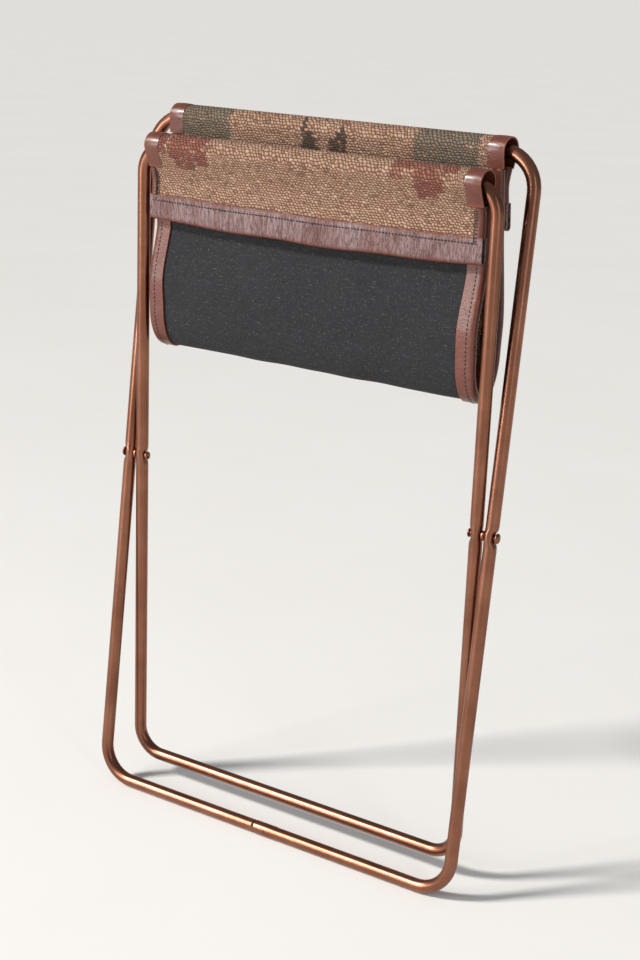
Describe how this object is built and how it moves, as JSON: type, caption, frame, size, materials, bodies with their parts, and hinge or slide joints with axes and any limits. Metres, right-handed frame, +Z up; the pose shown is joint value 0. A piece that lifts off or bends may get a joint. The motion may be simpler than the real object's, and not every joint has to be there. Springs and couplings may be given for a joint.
{
  "type": "magazine rack",
  "caption": "Folding magazine rack: two copper-plated tube loops crossed on side rivets, with a kilim and canvas sling edged in leather, shown folded.",
  "frame": {"origin": "middle of the bounding box's bottom: on the floor, under the rack's centre plane", "axes": "+Z up, +X along the top bars to the right, +Y to the back, towards the wall that the folded rack leans on"},
  "size_m": [0.3804, 0.0784, 0.617],
  "materials": {
    "copper_tube": "copper plated, satin, lightly aged",
    "copper_rivet": "copper plated, aged",
    "kilim": "coarse flat weave with faded motifs",
    "canvas": "charcoal canvas",
    "leather": "dark brown, waxed, creased"
  },
  "bodies": {
    "outer_frame": {"outer_tube": "copper_tube", "socket_pin": "copper_rivet", "pivot_rivet_left": "copper_rivet", "pivot_rivet_right": "copper_rivet", "pivot_spacer_left": "copper_rivet", "pivot_spacer_right": "copper_rivet"},
    "inner_frame": {"inner_tube": "copper_tube", "inner_spigot": "copper_rivet"},
    "sling_back": {"back_kilim": "kilim", "back_canvas": "canvas", "back_hem": "leather", "back_binding_left": "leather", "back_binding_right": "leather", "back_cap_left": "leather", "back_cap_right": "leather", "back_flap_edge_left": "leather", "back_flap_edge_right": "leather"},
    "sling_front": {"front_kilim": "kilim", "front_canvas": "canvas", "front_hem": "leather", "front_binding_left": "leather", "front_binding_right": "leather", "front_cap_left": "leather", "front_cap_right": "leather", "front_flap_edge_left": "leather", "front_flap_edge_right": "leather"}
  },
  "joints": [
    {"name": "fold", "type": "hinge", "parent": "outer_frame", "child": "inner_frame", "pos_m": [0, -0.00234, 0.3092], "axis": [1, 0, 0], "range_deg": [-1, 34]},
    {"name": "back_sleeve_turn", "type": "hinge", "parent": "outer_frame", "child": "sling_back", "pos_m": [0, 0.02734, 0.60653], "axis": [1, 0, 0], "range_deg": [-7.9, 0.3]},
    {"name": "sling_fold", "type": "hinge", "parent": "sling_back", "child": "sling_front", "pos_m": [0, 0.00066, 0.39917], "axis": [1, 0, 0], "range_deg": [-1.6, 51.4]}
  ],
  "couplings": [
    {"joint": "back_sleeve_turn", "follows": "fold", "ratio": -0.2277},
    {"joint": "sling_fold", "follows": "fold", "ratio": 1.5069}
  ]
}
